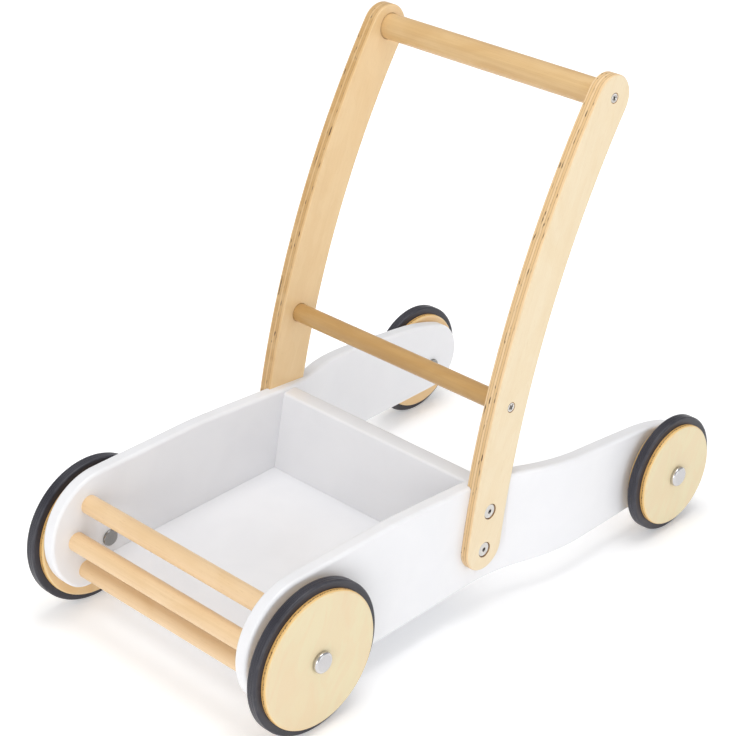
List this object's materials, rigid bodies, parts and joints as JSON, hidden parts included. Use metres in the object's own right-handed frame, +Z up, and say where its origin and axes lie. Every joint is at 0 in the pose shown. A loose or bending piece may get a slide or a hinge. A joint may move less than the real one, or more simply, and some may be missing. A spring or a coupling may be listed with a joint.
{
  "type": "baby push walker",
  "caption": "Wooden push walker: an open white tray on rubber-tyred wooden wheels, with tall curved plywood uprights that carry a round push bar and a lower cross bar.",
  "frame": {"origin": "on the floor below the middle of the walker's length and width", "axes": "+Z up, -Y towards the front with its dowels, +X towards the right-hand side panel as seen by the child who pushes"},
  "size_m": [0.364, 0.588, 0.4783],
  "materials": {
    "white_lacquer": "satin white lacquer",
    "birch_plywood": "clear satin lacquer on plywood",
    "beech": "clear satin lacquer",
    "rubber_tyre": "matt",
    "steel": "polished, bright plated",
    "nylon": "natural"
  },
  "bodies": {
    "frame": {"left_side_panel": "white_lacquer", "right_side_panel": "white_lacquer", "floor_panel": "white_lacquer", "back_panel": "white_lacquer", "front_dowel_upper": "beech", "front_dowel_middle": "beech", "front_dowel_lower": "beech", "left_upright": "birch_plywood", "right_upright": "birch_plywood", "handle_bar": "beech", "cross_bar": "beech", "handle_bar_screws": "steel", "cross_bar_screws": "steel", "upright_bolts": "steel", "bolt_inserts": "steel", "floor_pegs": "beech", "back_panel_pegs": "beech", "wheel_washers": "steel", "front_left_axle": "steel", "front_right_axle": "steel", "rear_left_axle": "steel", "rear_right_axle": "steel", "front_left_outer_cap": "steel", "front_right_outer_cap": "steel", "rear_left_outer_cap": "steel", "rear_right_outer_cap": "steel", "front_left_inner_cap": "steel", "front_right_inner_cap": "steel", "rear_left_inner_cap": "steel", "rear_right_inner_cap": "steel"},
    "front_left_wheel": {"front_left_disc": "birch_plywood", "front_left_tyre": "rubber_tyre", "front_left_bush": "nylon"},
    "front_right_wheel": {"front_right_disc": "birch_plywood", "front_right_tyre": "rubber_tyre", "front_right_bush": "nylon"},
    "rear_left_wheel": {"rear_left_disc": "birch_plywood", "rear_left_tyre": "rubber_tyre", "rear_left_bush": "nylon"},
    "rear_right_wheel": {"rear_right_disc": "birch_plywood", "rear_right_tyre": "rubber_tyre", "rear_right_bush": "nylon"}
  },
  "joints": [
    {"name": "front_left_wheel_spin", "type": "hinge", "parent": "frame", "child": "front_left_wheel", "pos_m": [-0.14285, -0.223, 0.071], "axis": [1, 0, 0], "continuous": true},
    {"name": "front_right_wheel_spin", "type": "hinge", "parent": "frame", "child": "front_right_wheel", "pos_m": [0.14285, -0.223, 0.071], "axis": [1, 0, 0], "continuous": true},
    {"name": "rear_left_wheel_spin", "type": "hinge", "parent": "frame", "child": "rear_left_wheel", "pos_m": [-0.16685, 0.236, 0.058], "axis": [1, 0, 0], "continuous": true},
    {"name": "rear_right_wheel_spin", "type": "hinge", "parent": "frame", "child": "rear_right_wheel", "pos_m": [0.16685, 0.236, 0.058], "axis": [1, 0, 0], "continuous": true}
  ]
}
